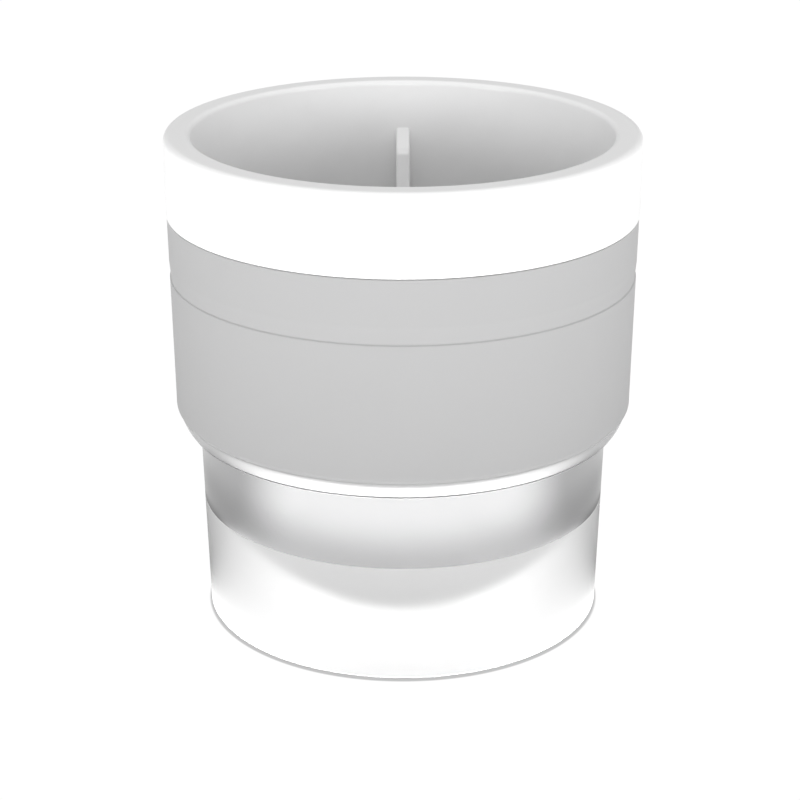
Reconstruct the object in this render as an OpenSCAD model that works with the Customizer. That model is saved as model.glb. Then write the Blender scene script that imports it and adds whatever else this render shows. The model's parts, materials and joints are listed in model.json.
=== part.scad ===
// Portable mini washer: a rigid rim carried on a soft wall that folds down over a
// narrower base, which holds the tub, the pulsator and its geared motor.
// Origin on the floor under the tub's centre, +Z up, controls towards +Y.

/* [Body] */
// Height of the unfolded washer
total_h = 300; // [294:1:306]
// Outer radius of the rim
rim_r = 140.5; // [140.2:0.1:141.5]
// Radius of the opening inside the rim
mouth_r = 124.6; // [124:0.1:125]
// Outer radius of the base at the floor
base_r = 121; // [120.8:0.1:121.4]
// Outer radius of the neck under the folding wall
neck_r = 124.4; // [124.2:0.1:124.5]

/* [Tub] */
// Number of wash ribs inside the rim
rib_count = 3; // [1:1:4]
// Width of a wash rib
rib_w = 9; // [6:0.5:12]
// How far a wash rib stands out of the wall
rib_out = 14; // [10:1:16]
// Number of vanes on the pulsator
vane_count = 3; // [3:1:6]
// Outer radius of the pulsator
pulsator_r = 80; // [70:1:80]

/* [Controls and drain] */
// Radius of a push button
button_r = 8; // [7:0.5:8]
// Distance from the panel's middle to a button
button_x = 16; // [15:0.5:17]
// Outer radius of the drain spout
spout_r = 9; // [8.8:0.1:9]
// How far the drain spout's end lies from the tub's axis
spout_reach = 143; // [142:1:144]

/* [Hidden] */
$fn = 96;
fit = 0.3;             // clearance between assembled mouldings
hair = 0.05;           // clearance round screws and pins
eps = 0.01;

// Heights of the seams, from the floor up.
shell_low = 1.5;
band_low = 73.3;
collar_low = 120.6;
sleeve_low = 131.6;
fold_z = 214.6;
rim_low = 252.3;
tub_floor = 87;
liner_low = 217;

// Wall thicknesses.
shell_t = 2.6;
band_t = 1.8;
soft_t = 3;
tub_t = 2.6;

// Gear train: motor pinion, idler with a large and a small gear, output gear.
gear_module = 1;
pinion_teeth = 14;
idler_teeth = 42;
output_teeth = 56;

// Drive heights and places.
gear_gap = gear_module * (pinion_teeth + output_teeth) / 2;
motor_gap = gear_module * (pinion_teeth + idler_teeth) / 2;
motor_x = gear_gap + motor_gap;
case_low = 55;
case_top = 78;
lid_top = 81.4;
shaft_r = 4;
bearing_r = 11;
bearing_h = 7;
motor_r = 18;
motor_low = 9;
case_r = 34;
case_x = 44;

post_r = 96;
post_turns = [22.5, 112.5, 202.5, 292.5];
case_screws = [[-24.7, 27.6], [-24.7, -27.6], [22, 37], [22, -37], [64.5, 30.8], [64.5, -30.8]];
clamp_screws = 8;
clamp_orbit_high = 131;
clamp_orbit_low = 128.2;
foot_r = 10;
foot_orbit = 95;

panel_z = 40;
panel_w = 66;
panel_h = 26;
board_y = 100;
post_x = 39.5;
drain_turn = 45;
drain_orbit = 90;
spout_z = 52;
spout_out = 19;        // full-width length that a hose slips over
jack_turn = -45;

white = "white";
pale = [0.93, 0.93, 0.93];
soft_grey = [0.62, 0.62, 0.63];
band_grey = [0.70, 0.70, 0.71];
rubber = [0.25, 0.25, 0.26];
steel = "silver";
brass = [0.80, 0.66, 0.36];
nylon = [0.90, 0.89, 0.84];

// ---- outlines ------------------------------------------------------------

// Outer radius of the base, neck included, at height z.
function low_r(z) = base_r + (neck_r - base_r) * z / collar_low;

// Outer radius of the soft wall at height z.
function soft_r(z) = 138.1 + (rim_r - 0.5 - 138.1) * (z - sleeve_low) / (rim_low - sleeve_low);

// Points of an arc about [cx, cy], from angle a to angle b.
function arc(cx, cy, r, a, b, n = 8) =
    [for (i = [0 : n]) let (t = a + (b - a) * i / n) [cx + r * cos(t), cy + r * sin(t)]];

module ring(outer, inner, low, high) {
    translate([0, 0, low])
        difference() {
            cylinder(r = outer, h = high - low);
            translate([0, 0, -1]) cylinder(r = inner, h = high - low + 2);
        }
}

module rod(r, low, high) {
    translate([0, 0, low]) cylinder(r = r, h = high - low);
}

// Turned to point outwards along +Y, from y = low to y = high, at height z.
module rod_y(r, low, high, z = 0, x = 0) {
    translate([x, high, z]) rotate([90, 0, 0]) cylinder(r = r, h = high - low);
}

module turned(points) {
    rotate_extrude($fn = 180) polygon(points);
}

module around(count, orbit, start = 0) {
    for (i = [0 : count - 1])
        rotate([0, 0, start + 360 * i / count]) translate([orbit, 0, 0]) children();
}

// A screw pointing up, its pan head below z = low.
module screw_up(r, low, high) {
    rod(r, low - eps, high);
    difference() {
        rod(2 * r, low - 1.2 * r, low);
        for (turn = [0, 90])
            rotate([0, 0, turn])
                translate([-1.3 * r, -0.25 * r, low - 1.2 * r - 1]) cube([2.6 * r, 0.5 * r, 1 + 0.6 * r]);
    }
}

// ---- rim -----------------------------------------------------------------

module rim_ring() {
    wall = 2.4;
    skirt = 2.6;
    color(white) difference() {
        union() {
            turned(concat(
                [[rim_r - skirt, rim_low], [rim_r, rim_low]],
                arc(rim_r - 4, total_h - 4, 4, 0, 90),
                arc(mouth_r + 3, total_h - 3, 3, 90, 180),
                [[mouth_r - 0.4, liner_low], [mouth_r + wall - 0.4, liner_low],
                 [mouth_r + wall, total_h - skirt], [rim_r - skirt, total_h - skirt]]));
            around(rib_count, 0, 90) wash_rib();
            around(clamp_screws, clamp_orbit_high) rod(2.9, 263.7, total_h - skirt + 1);
        }
        around(clamp_screws, clamp_orbit_high) rod(1.5 + hair, 260, 276);
    }
}

module wash_rib() {
    translate([0, rib_w / 2, 0])
        rotate([90, 0, 0])
            linear_extrude(rib_w)
                polygon([
                    [mouth_r + 1, 269.5], [mouth_r - 0.2, 269.5], [mouth_r - 4, 266],
                    [mouth_r - rib_out + 2, 259], [mouth_r - rib_out, 256],
                    [mouth_r - rib_out, 229], [mouth_r - 0.4, 220], [mouth_r + 1, 220]]);
}

module upper_clamp_ring() {
    color(pale) difference() {
        ring(134, 128, 257.4, 260.8);
        around(clamp_screws, clamp_orbit_high) rod(1.5 + hair, 250, 270);
    }
}

module rim_screws() {
    color(steel) around(clamp_screws, clamp_orbit_high) screw_up(1.5, 257.4, 272);
}

// ---- soft wall and its lower joint ---------------------------------------

module folding_sleeve() {
    low_in = 126.2;
    low_out = 133.2;
    top_out = rim_r - 2.6 - fit;
    color(soft_grey) difference() {
        turned([
            [low_in, 127.6], [low_out, 127.6], [low_out, 131.5],
            [136.4, 131.7], [137.5, 133.6], [soft_r(137), 137],
            [soft_r(fold_z - 1), fold_z - 1], [soft_r(fold_z) - 1, fold_z],
            [soft_r(fold_z) - 1, fold_z + 0.8], [soft_r(fold_z + 5) - 0.3, fold_z + 5],
            [soft_r(fold_z + 10), fold_z + 10], [soft_r(rim_low - 0.4), rim_low - 0.4],
            [top_out, rim_low - 0.4], [top_out, 263.4], [128.2, 263.4], [128.2, 261],
            [top_out - soft_t, 261], [top_out - soft_t, rim_low - 2],
            [soft_r(fold_z + 8) - soft_t, fold_z + 8], [soft_r(fold_z) - soft_t - 1, fold_z + 1],
            [soft_r(fold_z - 4) - soft_t, fold_z - 4], [soft_r(139) - soft_t, 139],
            [low_out - 1.6, 132], [low_out - 1.6, 130], [low_in, 130]]);
        around(clamp_screws, clamp_orbit_high) rod(1.5 + hair, 260, 264);
        around(clamp_screws, clamp_orbit_low) rod(1.5 + hair, 127, 131);
    }
}

module lower_collar() {
    color(white) turned(concat(
        [[133.6, 131.4], [133.6, 127.4], [132.4, 123.8], [131.2, 122.4], [125.6, 122.4],
         [125.6, collar_low + 0.4], [131.2, collar_low]],
        arc(122.3, 131.4, 14, -50, 0, 10)));
}

module lower_clamp_ring() {
    color(pale) difference() {
        ring(130, 126.2, 130.2, 133);
        around(clamp_screws, clamp_orbit_low) rod(1.5 + hair, 129, 134);
    }
}

module flange_screws() {
    color(steel) around(clamp_screws, clamp_orbit_low)
        translate([0, 0, 2 * 133]) mirror([0, 0, 1]) screw_up(1.5, 133, 142.6);
}

// ---- tub -----------------------------------------------------------------

module tub() {
    out_low = low_r(84) - 2.45;
    out_high = low_r(124) - 2.45;
    corner = 14;
    floor_r = out_low - tub_t - corner;
    color(white) difference() {
        union() {
            turned(concat(
                [[0, tub_floor - tub_t], [floor_r, tub_floor - tub_t]],
                arc(floor_r, tub_floor + corner, corner + tub_t, -90, 0, 8),
                [[out_high, 124.4], [131, 124.4], [131, 127.4], [126.1, 127.4],
                 [out_high - tub_t, 125.4]],
                arc(floor_r, tub_floor + corner, corner, 0, -90, 8),
                [[0, tub_floor]]));
            rod(14.5, 81.6, 94);
            around(clamp_screws, clamp_orbit_low) rod(2.3, 122.8, 125);
            for (p = case_screws) translate([p[0], p[1], 0]) rod(3.4, lid_top + 0.05, tub_floor - 1);
            for (turn = post_turns)
                rotate([0, 0, turn]) translate([post_r, 0, 0]) rod(4.5, 8, tub_floor - 1);
            rotate([0, 0, drain_turn]) translate([0, drain_orbit, 0]) rod(8, 68, tub_floor - 1);
        }
        rod(bearing_r + 0.02, 80, 89);
        rod(8, 88, 89.2);
        rod(9 + 0.02, 89.2, 95);
        around(clamp_screws, clamp_orbit_low) rod(1.5 + hair, 122, 128);
        for (p = case_screws) translate([p[0], p[1], 0]) rod(1.5 + hair, 80, 86);
        for (turn = post_turns)
            rotate([0, 0, turn]) translate([post_r, 0, 0]) rod(1.5 + hair, 7, 22);
        rotate([0, 0, drain_turn]) translate([0, drain_orbit, 0]) {
            rod(6, 60, 90);
            rod(9.7, tub_floor - 1.2, tub_floor + 1);
        }
    }
}

module drain_grate() {
    color(pale) rotate([0, 0, drain_turn]) translate([0, drain_orbit, 0]) difference() {
        rod(9.5, tub_floor - 1.15, tub_floor + 0.6);
        rod(1.3, 80, 90);
        around(6, 3.8) rod(1.3, 80, 90);
    }
}

// ---- base ----------------------------------------------------------------

module neck_band() {
    inset = 0.25;
    top = 124;
    color(band_grey) turned([
        [118, 67], [120, 67], [120, band_low + 0.2], [low_r(band_low) - inset, band_low + 0.2],
        [low_r(top) - inset, top], [low_r(top) - inset - band_t, top],
        [low_r(76) - inset - band_t, 76], [118, 74.4]]);
}

module base_shell() {
    color(white) difference() {
        union() {
            turned([
                [low_r(0) - shell_t, shell_low], [low_r(0) - 0.8, shell_low],
                [low_r(2.3), shell_low + 0.8], [low_r(band_low), band_low],
                [120.2, band_low], [120.2, 66], [low_r(60) - shell_t, 60],
                [low_r(9) - shell_t, 9], [114.4, 7.6], [114.4, 5.2], [low_r(5) - shell_t, 5.2]]);
            for (x = [-1, 1])
                intersection() {
                    rod_y(3.2, board_y + 1.8, 120, panel_z, x * post_x);
                    rod(120, 20, 60);
                }
            jack_place() rod_y(8.5, 112, 122.7, 0);
        }
        panel_blank(panel_w + 0.4, panel_h + 0.4, 110, 130);
        for (x = [-1, 1]) rod_y(1.2 + hair, 90, 110, panel_z, x * post_x);
        jack_place() rod_y(4.1, 100, 130, 0);
        rotate([0, 0, drain_turn]) rod_y(spout_r + 0.3, 100, 130, spout_z);
    }
}

module jack_place() {
    rotate([0, 0, jack_turn]) translate([0, 0, panel_z]) children();
}

module bottom_cover() {
    color(pale) difference() {
        rod(117.8, 2.5, 5);
        for (turn = post_turns) rotate([0, 0, turn]) translate([post_r, 0, 0]) {
            rod(1.5 + hair, 0, 10);
            rod(3.3, 2, 3.6);
        }
        around(4, foot_orbit, 45) rod(3 + hair, 0, 10);
        for (x = [-30 : 10 : 30], side = [-1, 1])
            translate([x - 1.5, side * 55 - 12, 0]) cube([3, 24, 10]);
    }
    color(pale) for (turn = post_turns)
        rotate([0, 0, turn]) translate([post_r, 0, 0]) ring(6, 4.8, 4.5, 14);
}

module cover_screws() {
    color(steel) for (turn = post_turns)
        rotate([0, 0, turn]) translate([post_r, 0, 0]) {
            rod(1.5, 3.5, 20);
            rod(3, 2.4, 3.55);
        }
}

module feet() {
    color(rubber) around(4, foot_orbit, 45) {
        difference() {
            rod(foot_r, 0, 2.45);
            translate([0, 0, -1]) cylinder(r = foot_r - 3, h = 1.6);
        }
        rod(3, 2, 6.6);
        rod(3.8, 5.1, 6.6);
    }
}

// ---- pulsator and its shaft ----------------------------------------------

module pulsator() {
    color(pale) difference() {
        union() {
            turned(concat(
                [[4.1, 104], [4.1, 96.5], [16.5, 96.5], [16.5, 90.5], [18.5, 90.5], [18.5, 95.8],
                 [pulsator_r - 2, 95.8]],
                arc(pulsator_r - 1.6, 97.4, 1.6, -90, 90, 6),
                [[30, 99.4], [20, 104], [12, 106], [9.2, 106], [9.2, 104]]));
            around(vane_count, 0, 30) vane();
        }
        rod(9.2, 104, 130);
    }
}

module vane() {
    translate([0, 4.5, 0]) rotate([90, 0, 0]) linear_extrude(9)
        polygon([
            [13, 98], [pulsator_r - 3, 98], [pulsator_r - 4, 101], [pulsator_r - 14, 106],
            [44, 111], [24, 113], [15, 112], [13, 106]]);
}

module pulsator_cap() {
    color(pale) turned(concat(
        [[0, 108], [6.4, 108], [6.4, 104.2], [9, 104.2], [9, 106.2], [11.5, 106.2]],
        arc(0, 97.7, 14.3, 36.5, 90, 8)));
}

module pulsator_screw() {
    color(steel) {
        rod(2, 92, 104.1);
        rod(5.5, 104.05, 107.4);
    }
}

module drive_shaft() {
    color(steel) difference() {
        union() {
            rod(shaft_r, case_low + 0.6, 103.8);
            rod(5.6, 78.5, 81.8);
        }
        rod(2 + hair, 91.5, 105);
    }
}

module shaft_seal() {
    color(rubber) ring(9, shaft_r + 0.05, 89.3, 93.8);
}

module bearing(low) {
    color(steel) difference() {
        rod(bearing_r, low, low + bearing_h);
        rod(shaft_r + 0.05, low - 1, low + bearing_h + 1);
        for (z = [low - 0.3, low + bearing_h - 0.3]) ring(bearing_r - 1.8, shaft_r + 2, z, z + 0.6);
    }
}

module upper_bearing() { bearing(81.9); }
module lower_bearing() { bearing(case_low + 0.55); }

// ---- gears ---------------------------------------------------------------

// Involute point of a gear with base radius rb, where it reaches radius r, as an angle.
function involute(rb, r) = let (a = acos(min(1, rb / r))) tan(a) * 180 / PI - a;

// Outline of one gear: flanks are involutes above the base circle and radial below it.
function gear_points(teeth, slack = 0.12) =
    let (pitch = gear_module * teeth / 2, rb = pitch * cos(20),
         tip = pitch + 0.8 * gear_module, root = pitch - 1.1 * gear_module,
         half = 90 / teeth - slack * 180 / PI / pitch + involute(rb, pitch),
         low = max(root, rb), steps = 4)
    [for (i = [0 : teeth - 1]) let (mid = 360 * i / teeth)
        each concat(
            [[root, mid - half - 0.01]],
            [for (k = [0 : steps]) let (r = low + 0.01 + (tip - low - 0.01) * k / steps)
                [r, mid - half + involute(rb, r)]],
            [for (k = [steps : -1 : 0]) let (r = low + 0.01 + (tip - low - 0.01) * k / steps)
                [r, mid + half - involute(rb, r)]],
            [[root, mid + half + 0.01]])];

// A gear with one tooth's middle at angle phase.
module gear(teeth, bore, low, high, phase) {
    translate([0, 0, low]) rotate([0, 0, phase]) difference() {
        linear_extrude(high - low)
            polygon([for (p = gear_points(teeth)) [p[0] * cos(p[1]), p[0] * sin(p[1])]]);
        translate([0, 0, -1]) cylinder(r = bore, h = high - low + 2);
    }
}

module output_gear() {
    color(nylon) difference() {
        union() {
            gear(output_teeth, shaft_r + 0.02, 70, 76.5, 0);
            ring(8, shaft_r + 0.02, 64, 78);
        }
        around(6, 17, 30) rod(4.5, 60, 80);
        for (z = [69, 75]) ring(23.5, 10.5, z, z + 2.5);
    }
}

module idler_gear() {
    color(nylon) translate([gear_gap, 0, 0]) {
        gear(pinion_teeth, 2.55, 68.4, 77.4, 180 + 180 / pinion_teeth);
        difference() {
            gear(idler_teeth, 2.55, 64, 68.5, 0);
            ring(17.5, 8.5, 63, 65);
            ring(17.5, 8.5, 67.5, 70);
        }
    }
}

module idler_pin() {
    color(steel) translate([gear_gap, 0, 0]) rod(2.5, case_low + 0.6, lid_top - 1.4);
}

module motor_pinion() {
    color(brass) translate([motor_x, 0, 0])
        gear(pinion_teeth, 1.6, 62.5, 69.5, 180 + 180 / pinion_teeth);
}

// ---- gear case -----------------------------------------------------------

module stadium(r, low, high) {
    rod(r, low, high);
    translate([case_x, 0, 0]) rod(r, low, high);
    translate([0, -r, low]) cube([case_x, 2 * r, high - low]);
}

module case_ears(low, high) {
    for (p = case_screws) translate([p[0], p[1], 0]) rod(4.6, low, high);
}

module gear_case() {
    color(pale) difference() {
        union() {
            stadium(case_r, case_low, case_top);
            rod(14, case_low - 2.5, case_low + 1);
            translate([gear_gap, 0, 0]) rod(6, case_low - 2, case_low + 1);
            case_ears(case_top - 6, case_top);
        }
        difference() {
            stadium(case_r - 2.4, case_low + 3, case_top + 1);
            rod(13.5, case_low, case_low + 8);
            translate([gear_gap, 0, 0]) rod(5, case_low, 63.7);
        }
        rod(bearing_r + 0.02, case_low + 0.5, 70);
        translate([gear_gap, 0, 0]) rod(2.5 + hair, case_low + 0.5, 70);
        translate([motor_x, 0, 0]) {
            rod(5, 50, 60);
            around(2, 12.5, 90) rod(1.5 + hair, 50, 60);
        }
        for (p = case_screws) translate([p[0], p[1], 0]) rod(1.5 + hair, 60, 90);
    }
}

module gear_case_lid() {
    color(pale) difference() {
        union() {
            stadium(case_r, case_top + 0.1, lid_top);
            case_ears(case_top + 0.1, lid_top);
        }
        rod(9, 70, 90);
        translate([gear_gap, 0, 0]) rod(2.5 + hair, 70, lid_top - 1.3);
        for (p = case_screws) translate([p[0], p[1], 0]) rod(1.5 + hair, 70, 90);
    }
}

module gear_case_screws() {
    color(steel) for (p = case_screws) translate([p[0], p[1], 0]) screw_up(1.5, case_top - 6, 85.6);
}

// ---- motor ---------------------------------------------------------------

module motor_can() {
    color(steel) translate([motor_x, 0, 0]) difference() {
        rod(motor_r, motor_low + 4, case_low - 0.1);
        rod(motor_r - 1.4, motor_low, case_low - 2.4);
        rod(3.2, 40, 60);
        around(2, 12.5, 90) rod(1.5 + hair, 50, 60);
    }
}

module motor_magnets() {
    color(rubber) translate([motor_x, 0, 0]) difference() {
        ring(motor_r - 1.45, 13.4, 21, 48);
        for (y = [-30, 14 - 9]) translate([-3, y, 20]) cube([6, 25, 30]);
    }
}

module motor_end_cap() {
    color(rubber) translate([motor_x, 0, 0]) {
        difference() {
            union() {
                rod(motor_r, motor_low, motor_low + 3.9);
                rod(motor_r - 1.5, motor_low + 3.8, motor_low + 6);
            }
            rod(1.6 + 0.05, motor_low + 1, 20);
        }
        for (x = [-1, 1]) translate([x * 11 - 2, -0.4, motor_low - 3]) cube([4, 0.8, 3.05]);
    }
}

module motor_screws() {
    color(steel) translate([motor_x, 0, 0]) around(2, 12.5, 90) {
        rod(1.5, case_low - 2.4, case_low + 3.05);
        rod(2.8, case_low + 3, case_low + 4.8);
    }
}

module motor_shaft() {
    color(steel) translate([motor_x, 0, 0]) rod(1.58, motor_low + 1.2, 70.5);
}

module motor_armature() {
    color([0.72, 0.43, 0.25]) translate([motor_x, 0, 0]) difference() {
        union() {
            rod(12.6, 23, 46);
            rod(8.5, 19, 50);
            rod(4.5, 16, 19.5);
        }
        rod(1.6, 10, 60);
        around(5, 13) rod(2, 22, 47);
    }
}

// ---- controls ------------------------------------------------------------

// Rounded rectangle facing +Y, from y = low to y = high.
module panel_blank(w, h, low, high, corner = 6) {
    translate([0, high, panel_z]) rotate([90, 0, 0]) linear_extrude(high - low) {
        square([w - 2 * corner, h], center = true);
        square([w, h - 2 * corner], center = true);
        for (x = [-1, 1], y = [-1, 1])
            translate([x * (w / 2 - corner), y * (h / 2 - corner)]) circle(r = corner);
    }
}

module panel_skin(out) {
    turned([[118, 20], [low_r(20) + out, 20], [low_r(60) + out, 60], [118, 60]]);
}

module control_panel() {
    color(band_grey) difference() {
        union() {
            intersection() {
                panel_blank(panel_w, panel_h, 105, 130);
                panel_skin(0.5);
            }
            intersection() {
                panel_blank(panel_w + 4, panel_h + 4, 105, 130, 8);
                panel_skin(-shell_t - 0.1);
            }
        }
        for (x = [-1, 1]) rod_y(button_r + 0.25, 100, 130, panel_z, x * button_x);
        rod_y(2 + hair, 100, 130, panel_z);
    }
}

module button(x) {
    color(white) {
        rod_y(button_r, 114.5, 123.6, panel_z, x);
        rod_y(button_r + 1.3, 113, 115, panel_z, x);
        rod_y(2, 107.2, 113.5, panel_z, x);
    }
}

module power_button() { button(-button_x); }
module timer_button() { button(button_x); }

// A tube of radius r swept along points that all lie near one plane or helix.
module wire(points, r, sides = 8) {
    n = len(points);
    function unit(v) = v / norm(v);
    function tangent(i) = unit(points[min(i + 1, n - 1)] - points[max(i - 1, 0)]);
    function side(i) = let (t = tangent(i), up = abs(t[2]) > 0.9 ? [0, 1, 0] : [0, 0, 1])
        unit(cross(t, up));
    vertices = [for (i = [0 : n - 1]) let (t = tangent(i), a = side(i), b = cross(t, a))
        for (k = [0 : sides - 1]) let (q = 360 * k / sides)
            points[i] + r * (a * cos(q) + b * sin(q))];
    walls = [for (i = [0 : n - 2], k = [0 : sides - 1]) let (m = (k + 1) % sides)
        [i * sides + k, (i + 1) * sides + k, (i + 1) * sides + m, i * sides + m]];
    start = [for (k = [0 : sides - 1]) k];
    end = [for (k = [sides - 1 : -1 : 0]) (n - 1) * sides + k];
    polyhedron(vertices, concat(walls, [start, end]));
}

module button_spring(x) {
    coil_r = 5.4;
    low = board_y + 2.2;
    high = 112.5;
    turns = 5;
    steps = 12;
    color(steel) wire(
        [for (i = [0 : turns * steps]) let (q = 360 * i / steps)
            [x + coil_r * cos(q), low + (high - low) * i / (turns * steps), panel_z + coil_r * sin(q)]],
        0.4, 6);
}

module power_button_spring() { button_spring(-button_x); }
module timer_button_spring() { button_spring(button_x); }

module indicator_lens() {
    color([0.75, 0.90, 1.0]) {
        rod_y(2, 117.5, 122.9, panel_z);
        rod_y(3, 116.2, 117.9, panel_z);
    }
}

module control_board() {
    color([0.10, 0.35, 0.22]) difference() {
        translate([-45, board_y, panel_z - 15]) cube([90, 1.6, 30]);
        for (x = [-1, 1]) rod_y(1.2 + hair, 90, 110, panel_z, x * post_x);
    }
    color(rubber) {
        for (x = [-1, 1]) {
            translate([x * button_x - 3, board_y + 1.55, panel_z - 3]) cube([6, 3.5, 6]);
            rod_y(1.7, board_y + 5, board_y + 5.65, panel_z, x * button_x);
        }
        rod_y(1.5, board_y + 1.55, board_y + 4, panel_z);
        translate([-24, board_y - 1.95, panel_z - 9]) cube([10, 2, 6]);
        rod_y(5, board_y - 11, board_y + 0.05, panel_z + 5, 12);
        translate([22, board_y - 7, panel_z - 10]) cube([8, 7.05, 12]);
        translate([-34, board_y - 7, panel_z - 12]) cube([8, 7.05, 8]);
    }
}

module board_screws() {
    color(steel) for (x = [-1, 1]) {
        rod_y(1.2, board_y - 0.1, 109, panel_z, x * post_x);
        rod_y(2.2, board_y - 1.6, board_y - 0.05, panel_z, x * post_x);
    }
}

// Two wires from the board to the motor's terminals and two to the power jack.
motor_start = [[26, 88, 34], [27, 82, 27], [31, 74, 18], [37, 64, 11], [44, 52, 8], [50, 40, 7]];
near_end = [[51.5, 24, 6.9], [52, 12, 7.1], [52, 0.5, 7.4]];
far_end = [[57, 28, 6.9], [66, 17, 6.9], [72.5, 9, 7], [74, 0.5, 7.4]];
supply_route = [
    [-30, 92.4, 32], [-30, 88, 29], [-24, 82, 22], [-10, 79, 16], [10, 80, 16], [30, 84, 18],
    [50, 83, 24], [62, 78, 31], [69, 73.5, 37.5], [72.4, 72.4, 39.6], [75, 75, 40]];

module motor_wires() {
    color(rubber) {
        wire(concat([[24.8, 92.5, 36]], [for (p = motor_start) p - [1.2, 0, 0]], near_end), 0.9);
        wire(concat([[27.2, 92.5, 36]], [for (p = motor_start) p + [1.2, 0, 0]], far_end), 0.9);
    }
}

module supply_wires() {
    color(rubber) for (side = [-1, 1])
        wire([for (p = supply_route) p + [0, 0, side * 1.4]], 0.9);
}

module power_jack() {
    color(rubber) jack_place() difference() {
        union() {
            rod_y(4, 107, 123, 0);
            rod_y(5.6, 123, 124.4, 0);
            rod_y(4.2, 106.5, 109, 0);
        }
        rod_y(2.8, 114, 130, 0);
    }
    color(steel) jack_place() rod_y(1, 113.5, 123, 0);
}

module jack_nut() {
    color(steel) jack_place() difference() {
        translate([0, 111.95, 0]) rotate([90, 0, 0]) cylinder(r = 6.4, h = 2.6, $fn = 6);
        rod_y(4 + hair, 105, 115, 0);
    }
}

// ---- drain ---------------------------------------------------------------

module drain_elbow() {
    color(pale) rotate([0, 0, drain_turn]) difference() {
        union() {
            translate([0, drain_orbit, 0]) rod(10.6, 41, 78);
            rod_y(spout_r - 0.2, drain_orbit, spout_reach - 1, spout_z);
            rod_y(spout_r, spout_reach - spout_out, spout_reach, spout_z);
        }
        translate([0, drain_orbit, 0]) {
            rod(8.1, 64, 80);
            rod(6, 44, 70);
        }
        rod_y(6.3, drain_orbit, spout_reach + 1, spout_z);
    }
}

module drain_gasket() {
    color(rubber) rotate([0, 0, drain_turn]) translate([0, drain_orbit, 0]) ring(8, 6.1, 64.1, 67.9);
}

module drain_plug() {
    color(rubber) rotate([0, 0, drain_turn]) {
        rod_y(6.25, 130, spout_reach + 0.5, spout_z);
        rod_y(8.6, spout_reach + 0.1, spout_reach + 2.6, spout_z);
        translate([0, spout_reach + 6.2, spout_z]) rotate([0, 90, 0]) difference() {
            translate([0, 0, -1.5]) cylinder(r = 4.8, h = 3);
            translate([0, 0, -2]) cylinder(r = 2.6, h = 4);
        }
    }
}

// ---- everything ----------------------------------------------------------

rim_ring();
upper_clamp_ring();
rim_screws();
folding_sleeve();
lower_collar();
lower_clamp_ring();
flange_screws();
tub();
neck_band();
base_shell();
bottom_cover();
cover_screws();
feet();
pulsator();
pulsator_cap();
pulsator_screw();
drive_shaft();
output_gear();
shaft_seal();
upper_bearing();
lower_bearing();
gear_case();
gear_case_lid();
gear_case_screws();
idler_gear();
idler_pin();
motor_can();
motor_magnets();
motor_end_cap();
motor_screws();
motor_shaft();
motor_armature();
motor_pinion();
control_panel();
power_button();
timer_button();
power_button_spring();
timer_button_spring();
indicator_lens();
control_board();
board_screws();
motor_wires();
supply_wires();
power_jack();
jack_nut();
drain_elbow();
drain_gasket();
drain_grate();
drain_plug();
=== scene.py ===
import json
import math

import bmesh
import bpy
import numpy as np
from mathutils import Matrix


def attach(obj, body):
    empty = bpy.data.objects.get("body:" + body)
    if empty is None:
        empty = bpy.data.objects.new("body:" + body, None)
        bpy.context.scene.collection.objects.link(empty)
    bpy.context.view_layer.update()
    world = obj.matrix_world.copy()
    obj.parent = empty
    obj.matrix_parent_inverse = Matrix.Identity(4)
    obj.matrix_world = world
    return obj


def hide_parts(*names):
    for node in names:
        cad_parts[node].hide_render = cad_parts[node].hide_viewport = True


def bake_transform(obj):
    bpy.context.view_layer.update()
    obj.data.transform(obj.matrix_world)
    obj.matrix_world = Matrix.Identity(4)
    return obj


# Portable mini washer: the visible mouldings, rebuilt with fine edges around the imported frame.
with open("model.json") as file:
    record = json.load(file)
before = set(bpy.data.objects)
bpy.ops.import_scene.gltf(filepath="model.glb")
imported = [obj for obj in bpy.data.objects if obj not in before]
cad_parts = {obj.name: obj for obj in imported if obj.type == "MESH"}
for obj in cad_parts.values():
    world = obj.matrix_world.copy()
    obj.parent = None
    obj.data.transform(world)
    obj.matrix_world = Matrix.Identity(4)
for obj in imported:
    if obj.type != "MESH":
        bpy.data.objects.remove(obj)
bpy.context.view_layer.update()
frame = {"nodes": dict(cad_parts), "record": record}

MM = 0.001
scene = bpy.context.scene


# ---- camera ----------------------------------------------------------------

def make_camera():
    """A long lens in front of the plain side (-Y), looking down on the rim."""
    data = bpy.data.cameras.new("camera")
    data.lens = 98.4
    data.sensor_width = 36.0
    data.shift_x = -0.0037
    data.clip_start, data.clip_end = 0.05, 40.0
    camera = bpy.data.objects.new("camera", data)
    camera.location = (0.0, -1.2547, 0.6143)
    camera.rotation_euler = (math.radians(68.86), 0.0, 0.0)
    scene.collection.objects.link(camera)
    scene.camera = camera
    return camera


make_camera()


# ---- sizes, in millimetres, the same as the CAD's ---------------------------

TOTAL_H = 300.0
RIM_R = 140.5
MOUTH_R = 124.6
BASE_R = 121.0
NECK_R = 124.4
COLLAR_LOW = 120.6
SLEEVE_LOW, SLEEVE_R = 131.6, 138.1
RIM_LOW = 252.3
FOLD_Z = 214.6
LINER_LOW = 217.0
BAND_LOW, BAND_WALL = 73.3, 2.05
WALL = 2.6
TUB_FLOOR, TUB_GAP = 87.0, 2.45
PANEL_Z = 40.0
BOARD_Y = 100.0
PANEL_W, PANEL_H, PANEL_CORNER, PANEL_GAP = 66.0, 26.0, 6.0, 0.2
BUTTON_X, BUTTON_R = 16.0, 8.0
SPOUT_Z, SPOUT_R = 52.0, 9.0
PANEL_ANGLE, DRAIN_ANGLE, JACK_ANGLE = 90.0, 135.0, 45.0
DRAIN_TURN = math.radians(DRAIN_ANGLE - PANEL_ANGLE)
JACK_TURN = math.radians(JACK_ANGLE - PANEL_ANGLE)
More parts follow.
